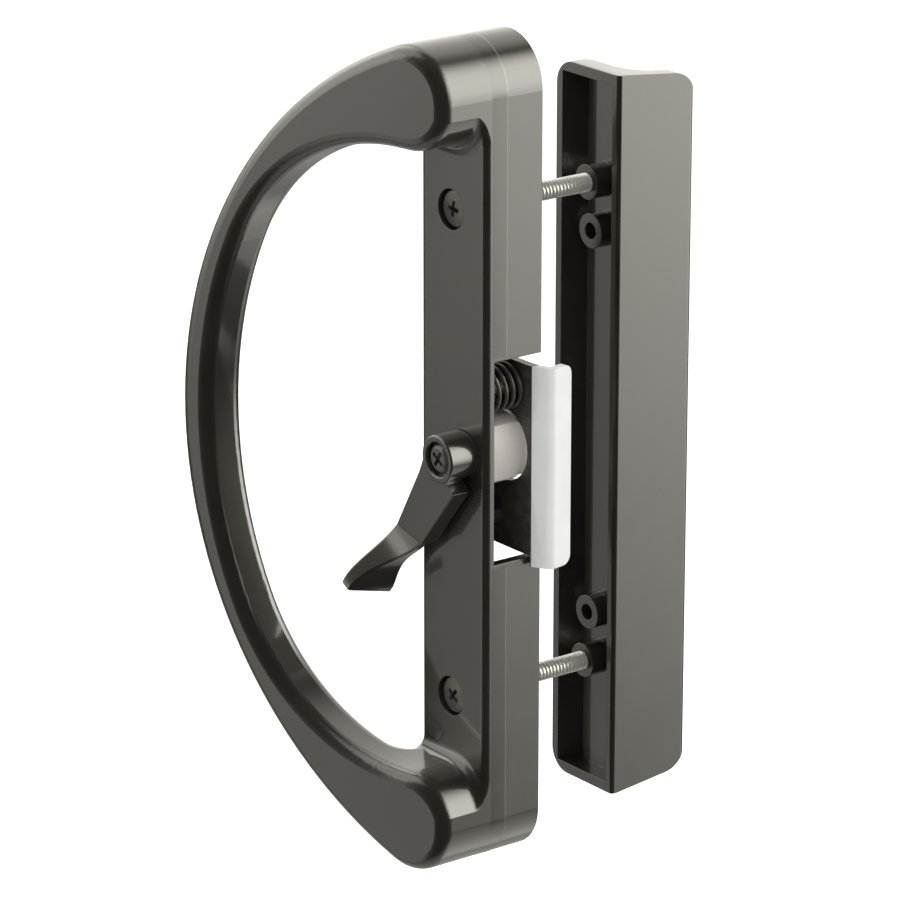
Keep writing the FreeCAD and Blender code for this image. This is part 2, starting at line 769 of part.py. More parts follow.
square.AttachmentOffset = Placement(Vector(), Rotation(Vector(0, 0, -1), value("dim.lever_angle")))
square.setExpression("AttachmentOffset.Rotation.Angle", "dim.lever_angle")
box(square, "-tang / 2", "tang / 2", "-tang / 2", "tang / 2")
pad(barrel, square, "plate_depth + washer_thick + tang_len - 0.2 - barrel_front - wall - 0.6")
pilot = sketch_on(barrel, "XZ_Plane", "plate_depth + washer_thick + tang_len")
ring(pilot, "0", "0", "set_r + thread_clear")
cut(barrel, pilot, "plate_depth + washer_thick + tang_len - set_end + 0.6")
groove = sketch_on(barrel, "XY_Plane")
groove.AttachmentOffset = Placement(Vector(), Rotation(Vector(0, 1, 0), value("dim.cam_run_on")))
groove.setExpression("AttachmentOffset.Rotation.Angle", "dim.cam_run_on")
box(
    groove, "-barrel_r - 1", "-barrel_r + slot_depth",
    "-follower_y + cam_lead * cam_run_on * pi / 180 - slot_high / 2",
    "-follower_y + cam_lead * cam_run_on * pi / 180 + slot_high / 2",
)
helix = barrel.newObject("PartDesign::SubtractiveHelix", "cam_slot")
helix.Profile = groove
helix.ReferenceAxis = (groove, ["V_Axis"])
helix.Mode = "pitch-turns-angle"
helix.setExpression("Pitch", "dim.cam_lead * 2 * pi")
helix.setExpression("Turns", "(dim.cam_turn + 2 * dim.cam_run_on) / 360")
helix.LeftHanded = False
helix.Reversed = True
doc.recompute()
place(barrel, "pivot_x", "0", "pivot_z")

# Hook clamp: one bent sheet, plate behind the barrel, hook out of the notch
clamp = body_of("hook_clamp")
sheet = sketch_on(clamp, "XY_Plane", "-clamp_bottom")
outline(sheet, [
    ("-clamp_left", "-clamp_front"),
    ("hook_start", "-clamp_front"),
    ("hook_out", "hook_knee"),
    ("hook_out - hook_lean", "hook_tip"),
    ("hook_out - hook_lean - clamp_thick", "hook_tip - 0.4"),
    ("hook_out - clamp_thick - 0.3", "hook_knee + 1.0"),
    ("hook_start - 0.55", "-clamp_back"),
    ("-clamp_left", "-clamp_back"),
])
pad(clamp, sheet, "clamp_top + clamp_bottom")


def bend(edge):
    middle = edge.CenterOfMass
    upright = edge.Length > value("dim.clamp_top")
    return upright and abs(middle.x - value("dim.hook_out")) < 1e-3


def hook_corner(edge):
    middle = edge.CenterOfMass
    tip = middle.x > value("dim.hook_start") + 5 and middle.y > value("dim.hook_tip") - 0.5
    return tip and edge.Length < 3


soften(clamp, edges_where(clamp.Shape, bend), "hook_round")
soften(clamp, edges_where(clamp.Shape, hook_corner), "hook_round")
ear = sketch_on(clamp, "XY_Plane", "pivot_z - ear_half")
box(ear, "-clamp_left", "-clamp_left + clamp_thick - 0.2", "-ear_front", "-clamp_back - 0.5")
pad(clamp, ear, "2 * ear_half")
windows = sketch_on(clamp, "XZ_Plane", "-hook_knee - 1")
ring(windows, "pivot_x", "pivot_z", "barrel_r + clamp_clear")
ring(windows, "pin_up_x", "pin_up_z", "pin_r + pin_clear")
ring(windows, "pin_low_x", "-pin_low_z", "pin_r + pin_clear")
cut(clamp, windows, "clamp_front + hook_knee + 2", turned=True)
lower = sketch_on(clamp, "XZ_Plane", "-hook_tip - 1")
box(lower, "-clamp_left - 1", "plate_right + 1", "-clamp_bottom - 1", "-clamp_low")
cut(clamp, lower, "hook_tip + clamp_front + 2", turned=True)
rivet = sketch_on(clamp, "YZ_Plane", "-clamp_left - 1")
ring(rivet, "-follower_y", "pivot_z", "follower_r")
cut(clamp, rivet, "clamp_thick + 2", turned=True)

follower = doc.addObject("Part::Cylinder", "cam_follower_pin")
follower.Label = "cam_follower_pin"
follower.setExpression("Radius", "dim.follower_r")
follower.setExpression("Height", "dim.clamp_left + dim.pivot_x - dim.barrel_r + dim.follower_reach")
follower.Placement.Rotation = Rotation(Vector(0, 1, 0), 90)
place(follower, "-clamp_left", "-follower_y", "pivot_z")

# Coil spring round the upper guide pin, its wire drawn eight-sided
spring = body_of("clamp_spring")
strand = sketch_on(spring, "XY_Plane")
wide = "spring_wire * 0.462"
slim = "spring_wire * 0.191"
middle = "spring_r - spring_wire / 2"
outline(strand, [
    (middle + " + " + wide, "-" + slim), (middle + " + " + wide, slim),
    (middle + " + " + slim, wide), (middle + " - " + slim, wide),
    (middle + " - " + wide, slim), (middle + " - " + wide, "-" + slim),
    (middle + " - " + slim, "-" + wide), (middle + " + " + slim, "-" + wide),
])
coil = spring.newObject("PartDesign::AdditiveHelix", "spring_coil")
coil.Profile = strand
coil.ReferenceAxis = (strand, ["V_Axis"])
coil.Mode = "pitch-turns-angle"
coil.setExpression("Pitch", named("(cavity_depth - clamp_front - spring_wire) / spring_turns"))
coil.setExpression("Turns", "dim.spring_turns")
doc.recompute()
place(spring, "pin_up_x", "-cavity_depth + spring_wire / 2", "pin_up_z")

pins = []
clips = []
for end, x, z in (("up", "pin_up_x", "pin_up_z"), ("low", "pin_low_x", "-pin_low_z")):
    pin = doc.addObject("Part::Cylinder", "pin_" + end)
    pin.setExpression("Radius", "dim.pin_r")
    pin.setExpression("Height", named("cavity_depth + pin_bed - pin_end"))
    pin.Placement.Rotation = Rotation(Vector(1, 0, 0), -90)
    place(pin, x, "-cavity_depth - pin_bed", z)
    pins.append(pin)
    disc = doc.addObject("Part::Cylinder", "disc_" + end)
    disc.setExpression("Radius", "dim.clip_r")
    disc.setExpression("Height", "dim.clip_thick")
    disc.Placement.Rotation = Rotation(Vector(1, 0, 0), -90)
    place(disc, x, "-clamp_back + clip_gap", z)
    clip = doc.addObject("Part::Cut", "clip_" + end)
    clip.Base = disc
    clip.Tool = pin
    clips.append(clip)
guide_pins = doc.addObject("Part::Compound", "guide_pins")
guide_pins.Label = "guide_pins"
guide_pins.Links = pins
guide_clips = doc.addObject("Part::Compound", "guide_pin_clips")
guide_clips.Label = "guide_pin_clips"
guide_clips.Links = clips


def export(node):
    os.makedirs("parts", exist_ok=True)
    node.Shape.exportStep("parts/" + node.Label + ".step")


nodes = [
    handle, pull, screws, lever, set_screw, washer, barrel, clamp, follower,
    spring, guide_pins, guide_clips,
]
doc.recompute()
for item in doc.Objects:
    if "Invalid" in item.State or "Error" in item.State:
        raise RuntimeError("bad feature " + item.Name)
for node in nodes:
    if node.Shape.isNull() or not node.Shape.isValid():
        raise RuntimeError("bad solid " + node.Label)
    export(node)
    print(node.Label, len(node.Shape.Solids), round(node.Shape.Volume), node.Shape.BoundBox)
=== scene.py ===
import math
import bmesh
import bpy
from mathutils import Matrix, Vector


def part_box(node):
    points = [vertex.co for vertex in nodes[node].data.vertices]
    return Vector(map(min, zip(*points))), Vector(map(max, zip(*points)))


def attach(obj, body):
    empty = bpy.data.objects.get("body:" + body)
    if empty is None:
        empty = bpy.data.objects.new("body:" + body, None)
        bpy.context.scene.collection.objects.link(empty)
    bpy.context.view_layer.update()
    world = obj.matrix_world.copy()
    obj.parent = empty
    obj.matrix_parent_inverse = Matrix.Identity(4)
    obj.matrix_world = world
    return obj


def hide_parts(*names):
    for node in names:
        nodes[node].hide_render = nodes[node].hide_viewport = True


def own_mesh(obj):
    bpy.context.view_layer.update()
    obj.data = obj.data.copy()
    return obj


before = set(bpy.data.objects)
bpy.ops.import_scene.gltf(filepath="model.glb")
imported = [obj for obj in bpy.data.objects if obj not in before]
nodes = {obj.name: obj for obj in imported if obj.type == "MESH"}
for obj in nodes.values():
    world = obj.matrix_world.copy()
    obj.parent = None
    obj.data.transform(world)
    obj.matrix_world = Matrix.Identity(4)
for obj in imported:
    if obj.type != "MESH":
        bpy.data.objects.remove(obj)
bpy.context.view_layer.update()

mm = 0.001
mergeGap = 0.002 * mm
print("frame loaded:", len(nodes), "nodes")


def srgb(code):
    parts = [int(code[i:i + 2], 16) / 255 for i in (1, 3, 5)]
    linear = [c / 12.92 if c <= 0.04045 else ((c + 0.055) / 1.055) ** 2.4 for c in parts]
    return (*linear, 1.0)


def addNode(tree, kind, settings=None, **links):
    node = tree.nodes.new(kind)
    for name, value in (settings or {}).items():
        if isinstance(name, int) or not hasattr(node, name):
            node.inputs[name].default_value = value
        else:
            setattr(node, name, value)
    for name, source in links.items():
        tree.links.new(source, node.inputs[name])
    return node


def startMaterial(name, sockets):
    material = bpy.data.materials.new(name)
    material.use_nodes = True
    tree = material.node_tree
    shader = tree.nodes["Principled BSDF"]
    for socket, value in sockets.items():
        shader.inputs[socket].default_value = value
    place = addNode(tree, "ShaderNodeTexCoord").outputs["Object"]
    return material, tree, shader, place


# speckle of one real size in millimetres, from 0 to 1
def speckle(tree, place, sizeMm, detail=2.0, stretch=(1, 1, 1)):
    lay = addNode(tree, "ShaderNodeMapping", {"Scale": stretch}, Vector=place)
    return addNode(tree, "ShaderNodeTexNoise", {"Scale": 1 / (sizeMm * mm), "Detail": detail},
                   Vector=lay.outputs["Vector"]).outputs["Fac"]


def spread(tree, value, low, high, start=0.15, end=0.85):
    return addNode(tree, "ShaderNodeMapRange",
                   {"From Min": start, "From Max": end, "To Min": low, "To Max": high},
                   Value=value).outputs["Result"]


def blendColours(tree, value, first, second):
    mix = addNode(tree, "ShaderNodeMix", {"data_type": "RGBA"})
    sockets = {s.identifier: s for s in mix.inputs}
    sockets["A_Color"].default_value = srgb(first)
    sockets["B_Color"].default_value = srgb(second)
    tree.links.new(value, sockets["Factor_Float"])
    return [s for s in mix.outputs if s.identifier == "Result_Color"][0]


# colour and roughness that drift over the surface: tone leads the colour, sheen the roughness
def mottle(tree, shader, finish, tone, sheen):
    colour = blendColours(tree, spread(tree, tone, 0.0, 1.0), finish["colour"], finish["drift"])
    tree.links.new(colour, shader.inputs["Base Color"])
    tree.links.new(spread(tree, sheen, *finish["sheen"]), shader.inputs["Roughness"])


def easedEdges(tree, radiusMm):
    return addNode(tree, "ShaderNodeBevel", {"samples": 4, "Radius": radiusMm * mm}).outputs["Normal"]


# waves laid one on the other, each a height in millimetres
def addBumps(tree, shader, layers, normal=None):
    for value, heightMm in layers:
        bump = addNode(tree, "ShaderNodeBump", {"Strength": 1.0, "Distance": heightMm * mm}, Height=value)
        if normal:
            tree.links.new(normal, bump.inputs["Normal"])
        normal = bump.outputs["Normal"]
    tree.links.new(normal, shader.inputs["Normal"])


# black enamel on die-cast zinc: near-black and a touch warm, a clear gloss over a soft haze,
# with faint orange peel and edges eased by the thickness of the paint
enamel = {
    "colour": "#201f1b", "drift": "#282721", "sheen": (0.25, 0.35), "ior": 1.5, "coatRoughness": 0.06,
    "tint": (1.0, 0.99, 0.96, 1.0), "peelMm": 2.4, "peelHeight": 0.004, "grainMm": 0.3,
    "grainHeight": 0.0006, "patchMm": 14.0, "edgeMm": 0.25,
}


def makeEnamel():
    material, tree, shader, place = startMaterial("blackEnamel", {
        "Base Color": srgb(enamel["colour"]), "IOR": enamel["ior"], "Coat Weight": 1.0,
        "Coat IOR": enamel["ior"], "Coat Roughness": enamel["coatRoughness"],
        "Coat Tint": enamel["tint"], "Specular Tint": enamel["tint"]})
    patch = speckle(tree, place, enamel["patchMm"])
    peel = speckle(tree, place, enamel["peelMm"], detail=1.0)
    grain = speckle(tree, place, enamel["grainMm"])
    mottle(tree, shader, enamel, patch, patch)
    addBumps(tree, shader, [(peel, enamel["peelHeight"]), (grain, enamel["grainHeight"])],
             easedEdges(tree, enamel["edgeMm"]))
    tree.links.new(shader.inputs["Normal"].links[0].from_socket, shader.inputs["Coat Normal"])
    return material


# bright zinc plate: pale metal under a milky film, with a fine crystal mottle
zincPlate = {"colour": "#dddcd6", "drift": "#c4c3bc", "roughness": 0.3, "sheen": (0.22, 0.4),
             "metallic": 0.55, "spangleMm": 0.8, "spangleHeight": 0.004}


def makeZincPlate():
    material, tree, shader, place = startMaterial("brightZincPlate", {
        "Base Color": srgb(zincPlate["colour"]), "Metallic": zincPlate["metallic"],
        "Roughness": zincPlate["roughness"]})
    spangle = speckle(tree, place, zincPlate["spangleMm"], detail=3.0)
    mottle(tree, shader, zincPlate, spangle, spangle)
    addBumps(tree, shader, [(spangle, zincPlate["spangleHeight"])])
    return material


# black phosphate on steel: dark, soft sheen, a fine tooth
phosphate = {"colour": "#45433e", "drift": "#67645d", "roughness": 0.34, "sheen": (0.42, 0.26),
             "metallic": 0.55, "toothMm": 0.15, "toothHeight": 0.002, "patchMm": 2.5}


def makePhosphate():
    material, tree, shader, place = startMaterial("blackPhosphate", {
        "Base Color": srgb(phosphate["colour"]), "Metallic": phosphate["metallic"],
        "Roughness": phosphate["roughness"]})
    tooth = speckle(tree, place, phosphate["toothMm"], detail=3.0)
    patch = speckle(tree, place, phosphate["patchMm"])
    mottle(tree, shader, phosphate, patch, patch)
    addBumps(tree, shader, [(tooth, phosphate["toothHeight"])])
    return material


# natural nylon: warm white, light soaks in a little, moulded sheen with faint flow marks
nylonMould = {"colour": "#d6d1cb", "drift": "#cbc6be", "roughness": 0.36, "sheen": (0.3, 0.42), "ior": 1.53,
              "soak": 0.2, "soakColour": (1.0, 0.8, 0.6), "soakMm": 1.2, "flowMm": 5.0,
              "flowStretch": (1, 0.3, 1), "grainMm": 0.25, "grainHeight": 0.002}


def makeNylon():
    material, tree, shader, place = startMaterial("naturalNylon", {
        "Base Color": srgb(nylonMould["colour"]), "Roughness": nylonMould["roughness"],
        "IOR": nylonMould["ior"], "Subsurface Weight": nylonMould["soak"],
        "Subsurface Radius": nylonMould["soakColour"], "Subsurface Scale": nylonMould["soakMm"] * mm})
    flow = speckle(tree, place, nylonMould["flowMm"], detail=3.0, stretch=nylonMould["flowStretch"])
    grain = speckle(tree, place, nylonMould["grainMm"])
    mottle(tree, shader, nylonMould, flow, flow)
    addBumps(tree, shader, [(grain, nylonMould["grainHeight"])])
    return material


# bright plate on rolled sheet: a pale satin film with drawn lines up the sheet, a little wavy
brightPlate = {"colour": "#ecedec", "drift": "#e2e3e2", "roughness": 0.45, "sheen": (0.39, 0.51),
               "metallic": 0.08, "specular": 0.3, "waveMm": 7.0, "waveHeight": 0.02, "drawnMm": 0.7,
               "drawnStretch": (1, 1, 0.05), "drawnHeight": 0.001, "edgeMm": 0.3}


def makeBrightPlate():
    material, tree, shader, place = startMaterial("brightPlate", {
        "Base Color": srgb(brightPlate["colour"]), "Metallic": brightPlate["metallic"],
        "Roughness": brightPlate["roughness"], "Specular IOR Level": brightPlate["specular"]})
    wave = speckle(tree, place, brightPlate["waveMm"], detail=1.0)
    drawn = speckle(tree, place, brightPlate["drawnMm"], stretch=brightPlate["drawnStretch"])
    mottle(tree, shader, brightPlate, wave, drawn)
    addBumps(tree, shader, [(wave, brightPlate["waveHeight"]), (drawn, brightPlate["drawnHeight"])],
             easedEdges(tree, brightPlate["edgeMm"]))
    return material


blackEnamel = makeEnamel()
brightZinc = makeZincPlate()
blackPhosphate = makePhosphate()
naturalNylon = makeNylon()
hookPlate = makeBrightPlate()

finishes = {
    "interior_handle": blackEnamel, "exterior_pull": blackEnamel, "mounting_screws": brightZinc,
    "thumb_lever": blackEnamel, "lever_screw": blackPhosphate, "lever_washer": blackPhosphate,
    "cam_barrel": naturalNylon, "hook_clamp": hookPlate, "cam_follower_pin": brightZinc,
    "clamp_spring": blackPhosphate, "guide_pins": blackPhosphate, "guide_pin_clips": blackPhosphate,
}
for name, material in finishes.items():
    nodes[name].data.materials.clear()
    nodes[name].data.materials.append(material)
print("finishes given")


# a new piece from a mesh: doubles merged, normals outward, edges past the angle kept sharp
def finishPiece(name, mesh, material, body, smoothAngle=35):
    bmesh.ops.remove_doubles(mesh, verts=mesh.verts, dist=mergeGap)
    bmesh.ops.recalc_face_normals(mesh, faces=mesh.faces)
    data = bpy.data.meshes.new(name)
    mesh.to_mesh(data)
    mesh.free()
    data.materials.append(material)
    if "custom_normal" in data.attributes:
        data.attributes.remove(data.attributes["custom_normal"])
    data.polygons.foreach_set("use_smooth", [True] * len(data.polygons))
    data.set_sharp_from_angle(angle=math.radians(smoothAngle))
    piece = bpy.data.objects.new(name, data)
    bpy.context.scene.collection.objects.link(piece)
    flats = piece.modifiers.new("flatFaces", "WEIGHTED_NORMAL")
    flats.weight = 100
    flats.keep_sharp = True
    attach(piece, body)
    return piece


def addLine(mesh, points):
    verts = [mesh.verts.new(p) for p in points]
    edges = [mesh.edges.new(pair) for pair in zip(verts, verts[1:])]
    return verts + edges


def copyNode(name):
    mesh = bmesh.new()
    mesh.from_mesh(nodes[name].data)
    bmesh.ops.remove_doubles(mesh, verts=mesh.verts, dist=mergeGap)
    return mesh


def subtract(piece, cutters, smoothAngle=35):
    for cutter in cutters:
        trim = piece.modifiers.new("trim", "BOOLEAN")
        trim.operation = "DIFFERENCE"
        trim.object = cutter
        trim.use_self = True
    piece.modifiers["flatFaces"].show_viewport = False
    solid = bpy.data.meshes.new_from_object(piece.evaluated_get(bpy.context.evaluated_depsgraph_get()))
    for trim in [m for m in piece.modifiers if m.type == "BOOLEAN"]:
        piece.modifiers.remove(trim)
    piece.modifiers["flatFaces"].show_viewport = True
    solid.name = piece.name
    piece.data = solid
    solid.set_sharp_from_angle(angle=math.radians(smoothAngle))
    for cutter in cutters:
        bpy.data.objects.remove(cutter)


def looseObject(name, mesh):
    bmesh.ops.recalc_face_normals(mesh, faces=mesh.faces)
    data = bpy.data.meshes.new(name)
    mesh.to_mesh(data)
    mesh.free()
    cutter = bpy.data.objects.new(name, data)
    bpy.context.scene.collection.objects.link(cutter)
    return cutter


# outside pull: the casting's hollow runs on to thin end walls
endRecess = {"outline": [(-9.7, 23.7), (9.9, 23.7), (9.9, 30.1), (-5.92, 30.1), (-9.7, 24.7)],
             "middle": -1.8, "start": 84.0, "end": 90.9, "smoothAngle": 28}


def makeOutsidePull():
    pull = finishPiece("outsidePull", copyNode("exterior_pull"), blackEnamel, "frame",
                       endRecess["smoothAngle"])
    cutters = []
    for side in (1, -1):
        mesh = bmesh.new()
        near = endRecess["middle"] + side * endRecess["start"]
        far = endRecess["middle"] + side * endRecess["end"]
        corners = [mesh.verts.new((x * mm, y * mm, near * mm)) for x, y in endRecess["outline"]]
        grown = bmesh.ops.extrude_face_region(mesh, geom=[mesh.faces.new(corners)])["geom"]
        bmesh.ops.translate(mesh, verts=[v for v in grown if isinstance(v, bmesh.types.BMVert)],
                            vec=(0, 0, (far - near) * mm))
        cutters.append(looseObject("recessCutter", mesh))
    subtract(pull, cutters, endRecess["smoothAngle"])
    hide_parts("exterior_pull")


makeOutsidePull()
print("outside pull hollowed")

# hook: the sheet stays flat further out and turns up sooner, bright plate where it stands out of the notch,
# and within the notch given dark black phosphate as painted shade, for the shadow that falls there
hookBend = {"flatTo": 15.4, "from": 11.5, "out": 20.4, "dropFlat": -2.15, "dropOut": -2.5, "smoothAngle": 28}


def makeHook():
    mesh = copyNode("hook_clamp")
    bmesh.ops.bisect_plane(mesh, geom=mesh.verts[:] + mesh.edges[:] + mesh.faces[:],
                           plane_co=(hookBend["flatTo"] * mm, 0, 0), plane_no=(1, 0, 0))
    for vert in mesh.verts:
        x = vert.co.x / mm
        if x > hookBend["flatTo"]:
            part = min((x - hookBend["flatTo"]) / (hookBend["out"] - hookBend["flatTo"]), 1)
            drop = hookBend["dropFlat"] + part * (hookBend["dropOut"] - hookBend["dropFlat"])
        else:
            part = max((x - hookBend["from"]) / (hookBend["flatTo"] - hookBend["from"]), 0)
            drop = hookBend["dropFlat"] * part
        vert.co.y += drop * mm
    # painted shade: faces within the notch take the dark second slot, though the sheet is one bright plate
    # throughout
    for face in mesh.faces:
        face.material_index = 0 if face.calc_center_median().x > hookBend["flatTo"] * mm else 1
    hook = finishPiece("hookClamp", mesh, hookPlate, "clamp", hookBend["smoothAngle"])
    # black phosphate here is painted shade for the part of the sheet inside the notch
    hook.data.materials.append(blackPhosphate)
    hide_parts("hook_clamp")


makeHook()
print("hook bent")

# machine screw: black pan head with a cross recess, and a bright threaded shank. The thread is given as
# crest or root along one pitch, and the cross by its size at the top and its shares at the bottom
screwForm = {"pitch": 1.06, "root": 1.9, "crest": 2.4, "perTurn": 28, "headHigh": 2.6, "headSpare": 0.2,
             "thread": [("root", 0), ("crest", 0.34), ("crest", 0.46), ("root", 0.8), ("root", 1)],
             "edgeRound": 0.7, "edgeSteps": 6, "domeRise": 0.45, "around": 64,
             "crossLong": 4.9, "crossWide": 1.15, "crossTop": -0.4712, "crossBottom": 1.8848,
             "bottomLong": 0.45, "bottomWide": 0.75, "turnUpper": 8, "turnLower": 38}


def makeShank(name, at, start, end):
    pitch = screwForm["pitch"] * mm
    turns = int((end - start) / pitch) - 1
    mesh = bmesh.new()
    line = addLine(mesh, [(at[0] + screwForm[level] * mm, start + part * pitch, at[1])
                          for level, part in screwForm["thread"]])
    bmesh.ops.spin(mesh, geom=line, cent=(at[0], start, at[1]), axis=(0, 1, 0),
                   dvec=(0, pitch / screwForm["perTurn"], 0), angle=2 * math.pi * turns,
                   steps=screwForm["perTurn"] * turns)
    bmesh.ops.remove_doubles(mesh, verts=mesh.verts, dist=mergeGap)
    bmesh.ops.holes_fill(mesh, edges=[e for e in mesh.edges if e.is_boundary])
    return finishPiece(name, mesh, brightZinc, "frame")


def makeCross(at, top):
    mesh = bmesh.new()
    long = screwForm["crossLong"] * mm
    wide = screwForm["crossWide"] * mm
    for sizeX, sizeZ in ((long, wide), (wide, long)):
        for vert in bmesh.ops.create_cube(mesh, size=1.0)["verts"]:
            bottom = vert.co.y > 0
            longShare = screwForm["bottomLong"] if bottom else 1.0
            wideShare = screwForm["bottomWide"] if bottom else 1.0
            alongX = sizeX * (longShare if sizeX > sizeZ else wideShare)
            alongZ = sizeZ * (longShare if sizeZ > sizeX else wideShare)
            depth = screwForm["crossBottom" if bottom else "crossTop"] * mm
            vert.co = (at[0] + vert.co.x * alongX, top + depth, at[1] + vert.co.z * alongZ)
    return looseObject("crossCutter", mesh)


def makeHead(name, at, seat, top, radius, turn):
    mesh = bmesh.new()
    edge = screwForm["edgeRound"] * mm
    rise = screwForm["domeRise"] * mm
    angles = [math.pi / 2 * k / screwForm["edgeSteps"] for k in range(screwForm["edgeSteps"] + 1)]
    corner = [(radius - edge + edge * math.cos(a), top + rise + edge - edge * math.sin(a)) for a in angles]
    outline = [(0, seat), (radius, seat)] + corner + [(0, top)]
    line = addLine(mesh, [(at[0] + r, y, at[1]) for r, y in outline])
    bmesh.ops.spin(mesh, geom=line, cent=(at[0], 0, at[1]), axis=(0, 1, 0), angle=2 * math.pi,
                   steps=screwForm["around"], use_merge=True)
    head = finishPiece(name, mesh, blackPhosphate, "frame")
    cutter = makeCross(at, top)
    spinAt = Matrix.Translation((at[0], 0, at[1]))
    cutter.data.transform(spinAt @ Matrix.Rotation(math.radians(turn), 4, "Y") @ spinAt.inverted())
    subtract(head, [cutter])
    return head


def makeScrews():
    low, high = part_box("mounting_screws")
    radius = (high[0] - low[0]) / 2
    middleX = (high[0] + low[0]) / 2
    seat = low[1] + screwForm["headHigh"] * mm
    for end, z in (("Upper", high[2] - radius), ("Lower", low[2] + radius)):
        head = makeHead("screwHead" + end, (middleX, z), seat, low[1], radius + screwForm["headSpare"] * mm,
                        screwForm["turn" + end])
        shank = makeShank("screwShank" + end, (middleX, z), seat, high[1])
        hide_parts("mounting_screws")
        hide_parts("mounting_screws")


makeScrews()
print("screws threaded")

# clamp spring: round wire coiled about the upper guide pin, built at its rest length
# (the real spring shortens toward the plate as the hook comes in)
springForm = {"wire": 0.55, "wireSides": 12, "turns": 4.25, "perTurn": 40, "travel": 3.5, "smoothAngle": 40}


def makeSpring():
    low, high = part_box("clamp_spring")
    wire = springForm["wire"] * mm
    centre = ((low[0] + high[0]) / 2, low[1] + wire, (low[2] + high[2]) / 2)
    coil = (high[0] - low[0]) / 2 - wire
    rise = high[1] - low[1] - 2 * wire
    steps = int(springForm["turns"] * springForm["perTurn"])
    mesh = bmesh.new()
    strand = bmesh.ops.create_circle(mesh, segments=springForm["wireSides"], radius=wire)["verts"]
    bmesh.ops.translate(mesh, verts=strand, vec=(centre[0] + coil, centre[1], centre[2]))
    bmesh.ops.spin(mesh, geom=mesh.verts[:] + mesh.edges[:], cent=centre, axis=(0, 1, 0),
                   dvec=(0, rise / steps, 0), angle=2 * math.pi * springForm["turns"], steps=steps)
    bmesh.ops.holes_fill(mesh, edges=[e for e in mesh.edges if e.is_boundary])
    spring = finishPiece("clampSpring", mesh, blackPhosphate, "frame",
                         springForm["smoothAngle"])
    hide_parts("clamp_spring")
    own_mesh(spring)


makeSpring()
print("spring coiled")

# parting line left by the die round the jamb side of the inside handle: the front half stands
# a hair proud, so it catches a darker tone and ends in a fine bright step
partingStep = {"profile": [(-15.3, -0.03), (-14.9, 0.01), (-10.75, 0.1), (-10.45, 0.08), (-10.2, -0.03)],
               "endRadius": 13.025, "notchTop": 28.0, "notchBottom": -26.0, "steps": 24, "smoothAngle": 60}


def makePartingStep():
    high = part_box("interior_handle")[1]
    radius = partingStep["endRadius"] * mm
    centreX = high[0] - radius
    centreZ = high[2] - radius
    quarter = [math.pi / 2 * k / partingStep["steps"] for k in range(partingStep["steps"] + 1)]
    upper = [(math.sin(a), math.cos(a), centreX + radius * math.sin(a), centreZ + radius * math.cos(a))
             for a in quarter]
    lower = [(nx, -nz, x, -z) for nx, nz, x, z in upper]
    mesh = bmesh.new()
    for path, end in ((upper, partingStep["notchTop"]), (lower, partingStep["notchBottom"])):
        rows = []
        for nx, nz, x, z in path + [(1, 0, high[0], end * mm)]:
            rows.append([mesh.verts.new((x + nx * lift * mm, y * mm, z + nz * lift * mm))
                         for y, lift in partingStep["profile"]])
        for first, second in zip(rows, rows[1:]):
            for k in range(len(partingStep["profile"]) - 1):
                mesh.faces.new((first[k], first[k + 1], second[k + 1], second[k]))
    finishPiece("partingStep", mesh, blackEnamel, "frame", partingStep["smoothAngle"])


makePartingStep()
print("parting line laid")

# studio: pale floor below the hung handle, white surround, soft boxes that the gloss shows
studio = {"floorDrop": 0.26, "floorSize": 6.0, "floorColour": "#f2f2f0", "floorRoughness": 0.9,
          "floorGlow": 0.55, "fill": 0.67, "dim": 0.035, "surround": "#ffffff", "glossSurround": "#fffdf6"}
softBoxes = {
    "tableBounce": {"towards": (-0.45, -0.83, -0.33), "level": 0.8, "edge": 0.86, "core": 0.98},
    "tableEdge": {"towards": (-0.5, -0.82, 0.1), "level": 0.7, "edge": 0.915, "core": 0.955},
    "upperLeft": {"towards": (-0.72, -0.45, 0.53), "level": 1.9, "edge": 0.6, "core": 0.92},
    "backTop": {"towards": (-0.65, 0.55, 0.52), "level": 1.3, "edge": 0.6, "core": 0.9},
    "table": {"towards": (-0.25, 0.15, -0.95), "level": 0.45, "edge": 0.45, "core": 0.9},
    "lowBack": {"towards": (0.35, 0.55, -0.76), "level": 0.9, "edge": 0.86, "core": 0.96},
    "rightBack": {"towards": (0.6, 0.73, 0.25), "level": 6.5, "edge": 0.72, "core": 0.98},
}
# the unlit side where the camera stands, which the rounded edges show as a dark band
cameraSide = {"towards": (0.602, -0.799, 0.0), "edge": 0.33, "core": 0.46, "keep": 0.06}
softPanels = {
    "panelRight": {"place": (0.75, 0.45, 0.15), "size": (0.7, 0.9), "power": 1.2},
    "panelTop": {"place": (-0.1, -0.2, 0.9), "size": (0.9, 0.9), "power": 7.0},
}


def makeFloor():
    mesh = bmesh.new()
    bmesh.ops.create_grid(mesh, x_segments=1, y_segments=1, size=studio["floorSize"] / 2)
    bmesh.ops.translate(mesh, verts=mesh.verts, vec=(0, 0, -studio["floorDrop"]))
    data = bpy.data.meshes.new("studioFloor")
    mesh.to_mesh(data)
    mesh.free()
    floor = bpy.data.objects.new("studioFloor", data)
    bpy.context.scene.collection.objects.link(floor)
    material, tree, shader, place = startMaterial("paleSweep", {
        "Base Color": srgb(studio["floorColour"]), "Roughness": studio["floorRoughness"],
        "Emission Color": (1, 1, 1, 1)})
    seen = addNode(tree, "ShaderNodeLightPath").outputs["Is Camera Ray"]
    glow = spread(tree, seen, 0.0, studio["floorGlow"], start=0.0, end=1.0)
    tree.links.new(glow, shader.inputs["Emission Strength"])
    data.materials.append(material)
    floor.visible_glossy = False


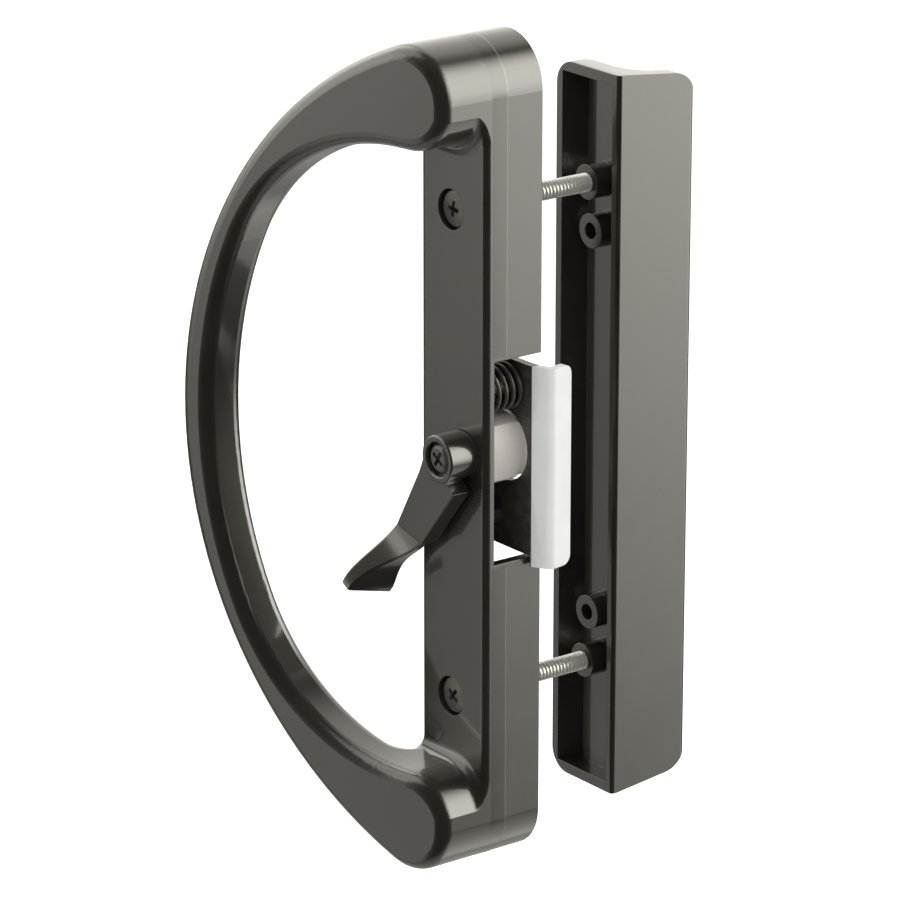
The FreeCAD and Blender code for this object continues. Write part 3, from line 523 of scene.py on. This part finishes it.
def makeWorld():
    world = bpy.data.worlds.new("studioSurround")
    world.use_nodes = True
    tree = world.node_tree
    towards = addNode(tree, "ShaderNodeTexCoord").outputs["Generated"]

    def facing(box, far, near):
        axis = Vector(box["towards"]).normalized()
        cosine = addNode(tree, "ShaderNodeVectorMath", {"operation": "DOT_PRODUCT", 1: axis})
        tree.links.new(towards, cosine.inputs[0])
        return addNode(tree, "ShaderNodeMapRange", {
            "interpolation_type": "SMOOTHSTEP", "From Min": box["edge"], "From Max": box["core"],
            "To Min": far, "To Max": near}, Value=cosine.outputs["Value"]).outputs["Result"]

    gloss = None
    for box in softBoxes.values():
        total = addNode(tree, "ShaderNodeMath", {"operation": "ADD", 1: studio["dim"]})
        tree.links.new(facing(box, 0.0, box["level"]), total.inputs[0])
        if gloss:
            tree.links.new(gloss, total.inputs[1])
        gloss = total.outputs[0]
    shaded = addNode(tree, "ShaderNodeMath", {"operation": "MULTIPLY"})
    tree.links.new(gloss, shaded.inputs[0])
    tree.links.new(facing(cameraSide, 1.0, cameraSide["keep"]), shaded.inputs[1])
    path = addNode(tree, "ShaderNodeLightPath").outputs
    level = None
    sources = {"Is Glossy Ray": shaded.outputs[0], "Is Camera Ray": 1.0, "Is Transmission Ray": 1.0}
    for ray, source in sources.items():
        mix = addNode(tree, "ShaderNodeMix", {"data_type": "FLOAT"})
        tree.links.new(path[ray], mix.inputs[0])
        mix.inputs[2].default_value = studio["fill"]
        if level:
            tree.links.new(level, mix.inputs[2])
        if isinstance(source, float):
            mix.inputs[3].default_value = source
        else:
            tree.links.new(source, mix.inputs[3])
        level = mix.outputs[0]
    back = tree.nodes["Background"]
    colour = blendColours(tree, path["Is Glossy Ray"], studio["surround"], studio["glossSurround"])
    tree.links.new(colour, back.inputs["Color"])
    tree.links.new(level, back.inputs["Strength"])
    bpy.context.scene.world = world


# a lamp that lights the scene from one side, turned to the origin and seen by no camera or gloss
def softPanel(name, place, size, power):
    lamp = bpy.data.lights.new(name, "AREA")
    lamp.shape = "RECTANGLE"
    lamp.size, lamp.size_y = size
    lamp.energy = power
    panel = bpy.data.objects.new(name, lamp)
    panel.location = place
    panel.rotation_euler = (-Vector(place)).to_track_quat("-Z", "Y").to_euler()
    panel.visible_camera = False
    panel.visible_glossy = False
    bpy.context.scene.collection.objects.link(panel)


makeFloor()
makeWorld()
for name, panel in softPanels.items():
    softPanel(name, panel["place"], panel["size"], panel["power"])
bpy.context.scene.view_settings.view_transform = "Standard"
print("studio lit")

# camera from the photograph: azimuth and elevation in degrees, lens and sensor in millimetres
viewFrom = {"place": (0.90132, -0.69794, 0.37508), "azimuth": 52.94, "elevation": 18.29,
            "lens": 194.55, "sensor": 36.0}


def makeCamera():
    data = bpy.data.cameras.new("photoCamera")
    data.lens = viewFrom["lens"]
    data.sensor_width = viewFrom["sensor"]
    camera = bpy.data.objects.new("photoCamera", data)
    turn = math.radians(viewFrom["azimuth"])
    lift = math.radians(viewFrom["elevation"])
    right = Vector((math.cos(turn), math.sin(turn), 0))
    back = Vector((math.sin(turn) * math.cos(lift), -math.cos(turn) * math.cos(lift), math.sin(lift)))
    up = back.cross(right)
    camera.matrix_world = Matrix((right, up, back)).transposed().to_4x4()
    camera.location = viewFrom["place"]
    bpy.context.scene.collection.objects.link(camera)
    bpy.context.scene.camera = camera


makeCamera()
print("camera placed")
